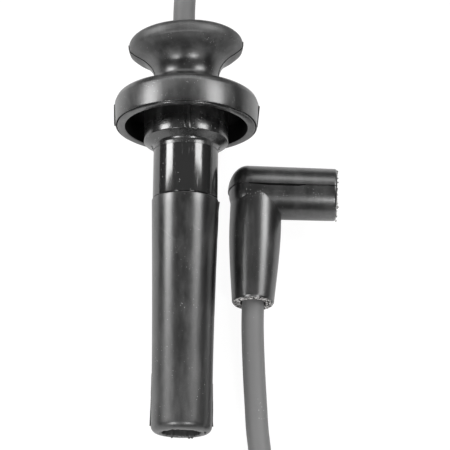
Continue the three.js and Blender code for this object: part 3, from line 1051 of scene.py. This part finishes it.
class SPARKWIRE_OT_stage(Operator):
    """Set up the floor, the light and the camera"""

    bl_idname = "spark_wire.stage"
    bl_label = "Stage"

    def execute(self, context):
        scene = context.scene
        s = scene.wire_stage
        self.camera(scene, s)
        self.floor(s)
        # Each lamp: its name, its place, the place along Y that it faces, its two sizes and its radiance
        for lamp in (
            ("left_softbox", (-0.53, 0.25, 0.362), 0.25, 0.34, 0.26, s.key),
            ("right_softbox", (0.429, 0.25, 0.455), 0.25, 0.34, 0.26, s.key * 0.85),
            ("back_softbox", (0, 0.64, 0.58), 0.02, 1.1, 0.24, s.back),
            ("left_front_softbox", (-0.27, -0.38, 0.37), 0.02, 0.09, 0.09, s.front),
            ("right_front_softbox", (0.2, -0.38, 0.4), 0.02, 0.09, 0.09, s.front),
        ):
            self.softbox(*lamp)
        self.world(scene, s)
        scene.view_settings.view_transform = "Standard"
        return {"FINISHED"}

    def camera(self, scene, s):
        data = bpy.data.cameras.new("photograph")
        data.lens = s.lens
        data.clip_start = 0.01
        camera = placed("photograph", data)
        back = Vector((0, -math.sin(s.lean), math.cos(s.lean)))
        camera.location = Vector(s.aim) + back * s.distance
        camera.rotation_euler = (s.lean, 0, 0)
        scene.camera = camera

    def floor(self, s):
        """A white floor that keeps a little of the shadow."""
        shape = bmesh.new()
        bmesh.ops.create_grid(shape, x_segments=1, y_segments=1, size=0.15)
        floor = mesh_object("floor", shape)
        finish = Finish("white_floor", (0.9, 0.9, 0.9), 0.9, specular=0.0)
        white = finish.node("ShaderNodeEmission", None, {"Color": grey(1), "Strength": 1.06})
        share = finish.ray("Is Camera Ray") * (1 - s.shadow) + finish.ray("Is Glossy Ray") * 0.5
        both = finish.node("ShaderNodeMixShader", None, {
            0: share.clamped(), 1: Value(finish, finish.shader.outputs[0]), 2: white})
        finish.feed(finish.tree.nodes["Material Output"].inputs["Surface"], both)
        floor.data.materials.append(finish.material)

    def softbox(self, name, place, facing, along, across, radiance):
        """A rectangle of light that faces the long boot at this place along it."""
        data = bpy.data.lights.new(name, "AREA")
        data.shape = "RECTANGLE"
        data.size = along
        data.size_y = across
        data.energy = radiance * math.pi * along * across
        lamp = placed(name, data)
        lamp.location = place
        aim = Vector((-0.013, facing, 0.02)) - Vector(place)
        lamp.rotation_euler = aim.to_track_quat("-Z", "Y").to_euler()

    def world(self, scene, s):
        """A room that is white to the camera, and dim but lighter above and ahead to everything else."""
        world = bpy.data.worlds.new("white_room")
        scene.world = world
        world.use_nodes = True
        room = Shading(world.node_tree)
        at = room.node("ShaderNodeTexCoord", output="Generated")
        ahead = room.node("ShaderNodeSeparateXYZ", None, {"Vector": at}, "Y")
        above = room.node("ShaderNodeSeparateXYZ", None, {"Vector": at}, "Z")
        level = room.node("ShaderNodeMath", {"operation": "MAXIMUM"}, {0: above * 1.5 + ahead, 1: 0.2})
        dim = room.node("ShaderNodeBackground", None, {"Color": grey(1), "Strength": level * s.room})
        white = room.node("ShaderNodeBackground", None, {"Color": grey(1), "Strength": 1.0})
        either = room.node("ShaderNodeMixShader", None, {0: room.ray("Is Camera Ray"), 1: dim, 2: white})
        room.feed(room.tree.nodes["World Output"].inputs["Surface"], either)


# Panel and registering

PIECES = (
    SPARKWIRE_OT_stage,
    SPARKWIRE_OT_cable,
    SPARKWIRE_OT_seal_cap,
    SPARKWIRE_OT_tube,
    SPARKWIRE_OT_plug_boot,
    SPARKWIRE_OT_coil_boot,
    SPARKWIRE_OT_inner_parts,
)

SETTINGS = {
    "wire_long_end": LongEnd,
    "wire_coil_end": CoilEnd,
    "wire_cable": CableLine,
    "wire_stage": StageSetting,
}


class SPARKWIRE_PT_panel(Panel):
    """Lists the pieces of the wire and their sizes"""

    bl_label = "Spark plug wire"
    bl_idname = "SPARKWIRE_PT_panel"
    bl_space_type = "VIEW_3D"
    bl_region_type = "UI"
    bl_category = "Plug Wire"

    def draw(self, context):
        for piece in PIECES:
            self.layout.operator(piece.bl_idname)
        for setting in SETTINGS:
            group = getattr(context.scene, setting)
            part = self.layout.box()
            for size in group.__annotations__:
                part.prop(group, size)


CLASSES = (*SETTINGS.values(), *PIECES, SPARKWIRE_PT_panel)


def register():
    for made in CLASSES:
        bpy.utils.register_class(made)
    for name, group in SETTINGS.items():
        setattr(bpy.types.Scene, name, PointerProperty(type=group))


def unregister():
    for name in SETTINGS:
        delattr(bpy.types.Scene, name)
    for made in reversed(CLASSES):
        bpy.utils.unregister_class(made)


def main():
    register()
    for piece in PIECES:
        folder, name = piece.bl_idname.split(".")
        getattr(getattr(bpy.ops, folder), name)()


if __name__ == "__main__":
    main()
